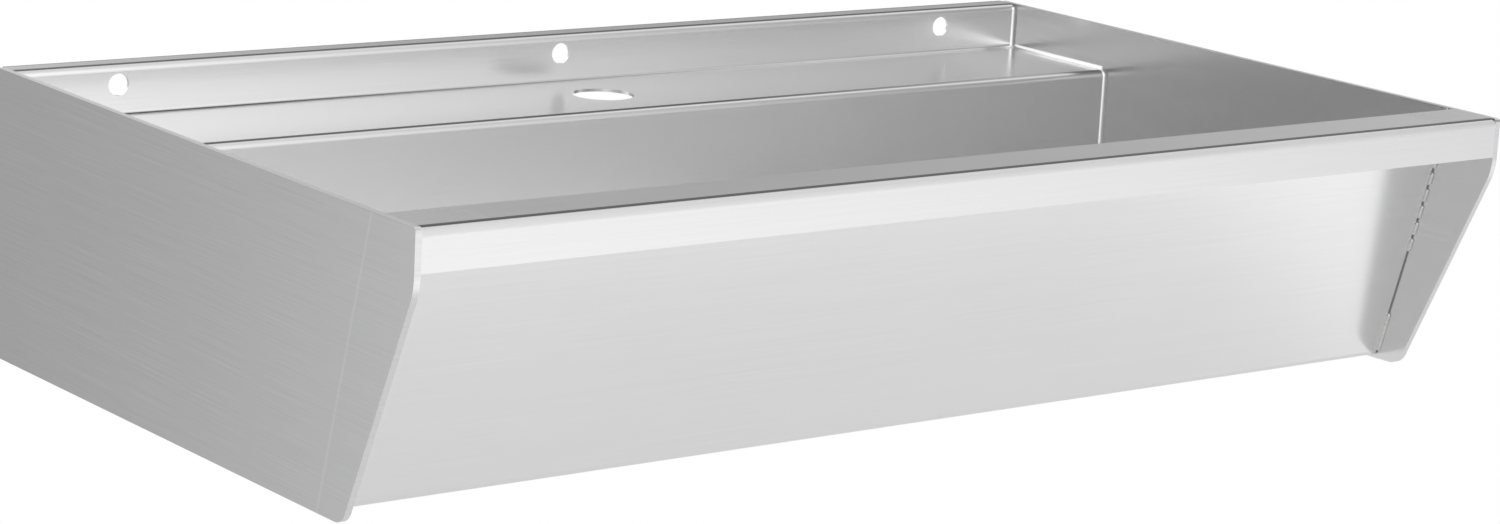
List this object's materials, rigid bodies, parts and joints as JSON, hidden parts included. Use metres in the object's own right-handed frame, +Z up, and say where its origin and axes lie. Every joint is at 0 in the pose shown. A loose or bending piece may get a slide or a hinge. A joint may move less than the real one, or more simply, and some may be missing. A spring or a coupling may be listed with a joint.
{
  "type": "trough sink",
  "caption": "Wall-hung stainless trough sink: a folded sheet with rim, sloped front, tap ledge and upstand between two flat end plates, with a strainer waste in its floor.",
  "frame": {"origin": "middle of the length, on the wall plane, at the level of the top edge", "axes": "+X to the right for a user who faces the sink, +Y into the wall, +Z up"},
  "size_m": [0.6, 0.365, 0.1722],
  "materials": {
    "sheet_steel": "satin",
    "plate_steel": "satin",
    "ground_weld": "polished",
    "rough_weld": "as welded, brushed clean",
    "polished_steel": "polished",
    "seal_rubber": "matt",
    "waste_plastic": "moulded, matt",
    "insert_brass": "turned"
  },
  "bodies": {
    "root": {"trough_sheet": "sheet_steel", "left_cheek": "plate_steel", "right_cheek": "plate_steel", "left_corner_weld": "ground_weld", "right_corner_weld": "ground_weld", "left_stitch_welds": "rough_weld", "right_stitch_welds": "rough_weld", "strainer_plate": "polished_steel", "strainer_screw": "polished_steel", "upper_seal": "seal_rubber", "lower_seal": "seal_rubber", "waste_body": "waste_plastic", "bridge_insert": "insert_brass"}
  },
  "joints": []
}
